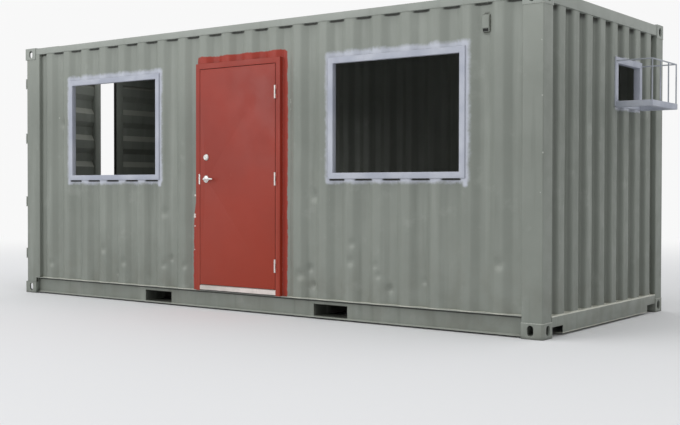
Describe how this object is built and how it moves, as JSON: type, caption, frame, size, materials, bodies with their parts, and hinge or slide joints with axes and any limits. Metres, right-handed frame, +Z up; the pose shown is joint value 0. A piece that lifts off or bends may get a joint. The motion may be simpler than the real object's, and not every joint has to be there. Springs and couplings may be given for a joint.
{
  "type": "shipping container cabin",
  "caption": "Freight container turned into a cabin, with a personnel door and window openings in a long wall and an air conditioner shelf on the end.",
  "frame": {"origin": "on the ground at the centre of the four bottom casting apertures", "axes": "+X along the container to the plain end with the air conditioner shelf, +Y to the wall with no openings, +Z up"},
  "size_m": [6.6093, 2.484, 2.591],
  "materials": {
    "wall_paint": "satin, weathered",
    "door_paint": "satin",
    "primer": "matt primer",
    "hinge_steel": "satin",
    "lock_chrome": "satin chrome",
    "threshold_alloy": "mill",
    "rod_steel": "galvanised and overpainted",
    "floor_wood": "oiled plywood",
    "seal_rubber": "matt"
  },
  "bodies": {
    "container": {"bottom_corner_castings": "wall_paint", "top_corner_castings": "wall_paint", "end_posts": "wall_paint", "door_end_posts": "wall_paint", "bottom_side_rails": "wall_paint", "top_side_rails": "wall_paint", "end_sill": "wall_paint", "end_header": "wall_paint", "door_end_header": "wall_paint", "door_end_sill": "wall_paint", "fork_pockets": "wall_paint", "floor": "floor_wood", "cross_members": "wall_paint", "window_frames": "primer", "front_wall_strips": "wall_paint", "front_wall_under_windows": "wall_paint", "front_wall_over_openings": "wall_paint", "back_wall": "wall_paint", "end_wall_strips": "wall_paint", "end_wall_by_cooler": "wall_paint", "roof": "wall_paint", "roof_doublers": "wall_paint", "door_frame": "door_paint", "door_threshold": "threshold_alloy", "door_hinge_frame_knuckles": "hinge_steel", "cooler_frame": "primer", "cooler_shelf": "primer", "cooler_cage": "primer", "vents": "wall_paint", "cargo_hinge_lugs": "wall_paint", "cargo_keepers": "wall_paint"},
    "personnel_door": {"door_leaf": "door_paint", "door_hinge_leaf_knuckles": "hinge_steel", "door_lockset": "lock_chrome"},
    "lever": {"door_lever": "lock_chrome"},
    "cargo_door_front": {"cargo_door_front_frame": "wall_paint", "cargo_door_front_gasket": "seal_rubber", "cargo_door_front_panel": "wall_paint", "cargo_door_front_hinges": "wall_paint", "cargo_door_front_lock_rods": "rod_steel"},
    "cargo_door_back": {"cargo_door_back_frame": "wall_paint", "cargo_door_back_gasket": "seal_rubber", "cargo_door_back_panel": "wall_paint", "cargo_door_back_hinges": "wall_paint", "cargo_door_back_lock_rods": "rod_steel"}
  },
  "joints": [
    {"name": "personnel_door_hinge", "type": "hinge", "parent": "container", "child": "personnel_door", "pos_m": [0.472, -1.229, 1.195], "axis": [0, 0, 1], "range_deg": [0, 115]},
    {"name": "lever_turn", "type": "hinge", "parent": "personnel_door", "child": "lever", "pos_m": [-0.3575, -1.2, 1.196], "axis": [0, 1, 0], "range_deg": [0, 45], "stiffness_Nm_per_rad": 2},
    {"name": "cargo_door_front_hinge", "type": "hinge", "parent": "container", "child": "cargo_door_front", "pos_m": [-3.014, -1.201, 1.3], "axis": [0, 0, 1], "range_deg": [-14, 236]},
    {"name": "cargo_door_back_hinge", "type": "hinge", "parent": "container", "child": "cargo_door_back", "pos_m": [-3.014, 1.201, 1.3], "axis": [0, 0, -1], "range_deg": [-2.4, 247.6]}
  ]
}
